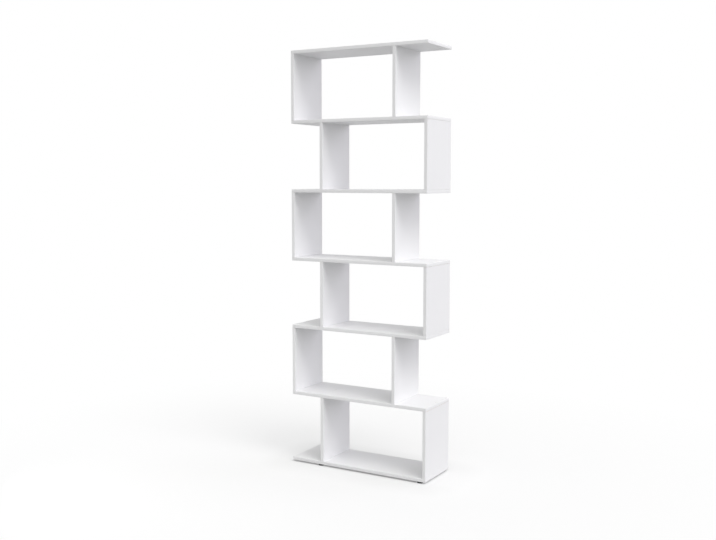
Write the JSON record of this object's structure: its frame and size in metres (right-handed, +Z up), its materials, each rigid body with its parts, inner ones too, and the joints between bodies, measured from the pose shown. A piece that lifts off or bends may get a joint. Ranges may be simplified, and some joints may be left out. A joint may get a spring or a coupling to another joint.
{
  "type": "zigzag bookshelf",
  "caption": "Tall open bookshelf of flat white boards on uprights that step left and right from tier to tier, making open compartments and side ledges.",
  "frame": {"origin": "on the floor, midway along the width and the depth", "axes": "+Z up, +X along the boards towards the end where the lowest end upright stands, and the front faces -Y"},
  "size_m": [0.7, 0.24, 1.928],
  "materials": {
    "white_melamine": "white melamine-faced chipboard, satin, with matching edge banding",
    "zinc_steel": "bright zinc plated",
    "black_plastic": "moulded, fine matt grain"
  },
  "bodies": {
    "root": {"bottom_board": "white_melamine", "shelf_1": "white_melamine", "shelf_2": "white_melamine", "shelf_3": "white_melamine", "shelf_4": "white_melamine", "shelf_5": "white_melamine", "top_board": "white_melamine", "tier_1_left_upright": "white_melamine", "tier_1_right_upright": "white_melamine", "tier_2_left_upright": "white_melamine", "tier_2_right_upright": "white_melamine", "tier_3_left_upright": "white_melamine", "tier_3_right_upright": "white_melamine", "tier_4_left_upright": "white_melamine", "tier_4_right_upright": "white_melamine", "tier_5_left_upright": "white_melamine", "tier_5_right_upright": "white_melamine", "tier_6_left_upright": "white_melamine", "tier_6_right_upright": "white_melamine", "tier_1_left_lower_screw": "zinc_steel", "tier_1_left_upper_screw": "zinc_steel", "tier_1_right_lower_screw": "zinc_steel", "tier_1_right_upper_screw": "zinc_steel", "tier_2_left_lower_screw": "zinc_steel", "tier_2_left_upper_screw": "zinc_steel", "tier_2_right_lower_screw": "zinc_steel", "tier_2_right_upper_screw": "zinc_steel", "tier_3_left_lower_screw": "zinc_steel", "tier_3_left_upper_screw": "zinc_steel", "tier_3_right_lower_screw": "zinc_steel", "tier_3_right_upper_screw": "zinc_steel", "tier_4_left_lower_screw": "zinc_steel", "tier_4_left_upper_screw": "zinc_steel", "tier_4_right_lower_screw": "zinc_steel", "tier_4_right_upper_screw": "zinc_steel", "tier_5_left_lower_screw": "zinc_steel", "tier_5_left_upper_screw": "zinc_steel", "tier_5_right_lower_screw": "zinc_steel", "tier_5_right_upper_screw": "zinc_steel", "tier_6_left_lower_screw": "zinc_steel", "tier_6_left_upper_screw": "zinc_steel", "tier_6_right_lower_screw": "zinc_steel", "tier_6_right_upper_screw": "zinc_steel", "glide_front_left": "black_plastic", "glide_front_right": "black_plastic", "glide_back_left": "black_plastic", "glide_back_right": "black_plastic", "glide_nail_front_left": "zinc_steel", "glide_nail_front_right": "zinc_steel", "glide_nail_back_left": "zinc_steel", "glide_nail_back_right": "zinc_steel"}
  },
  "joints": []
}
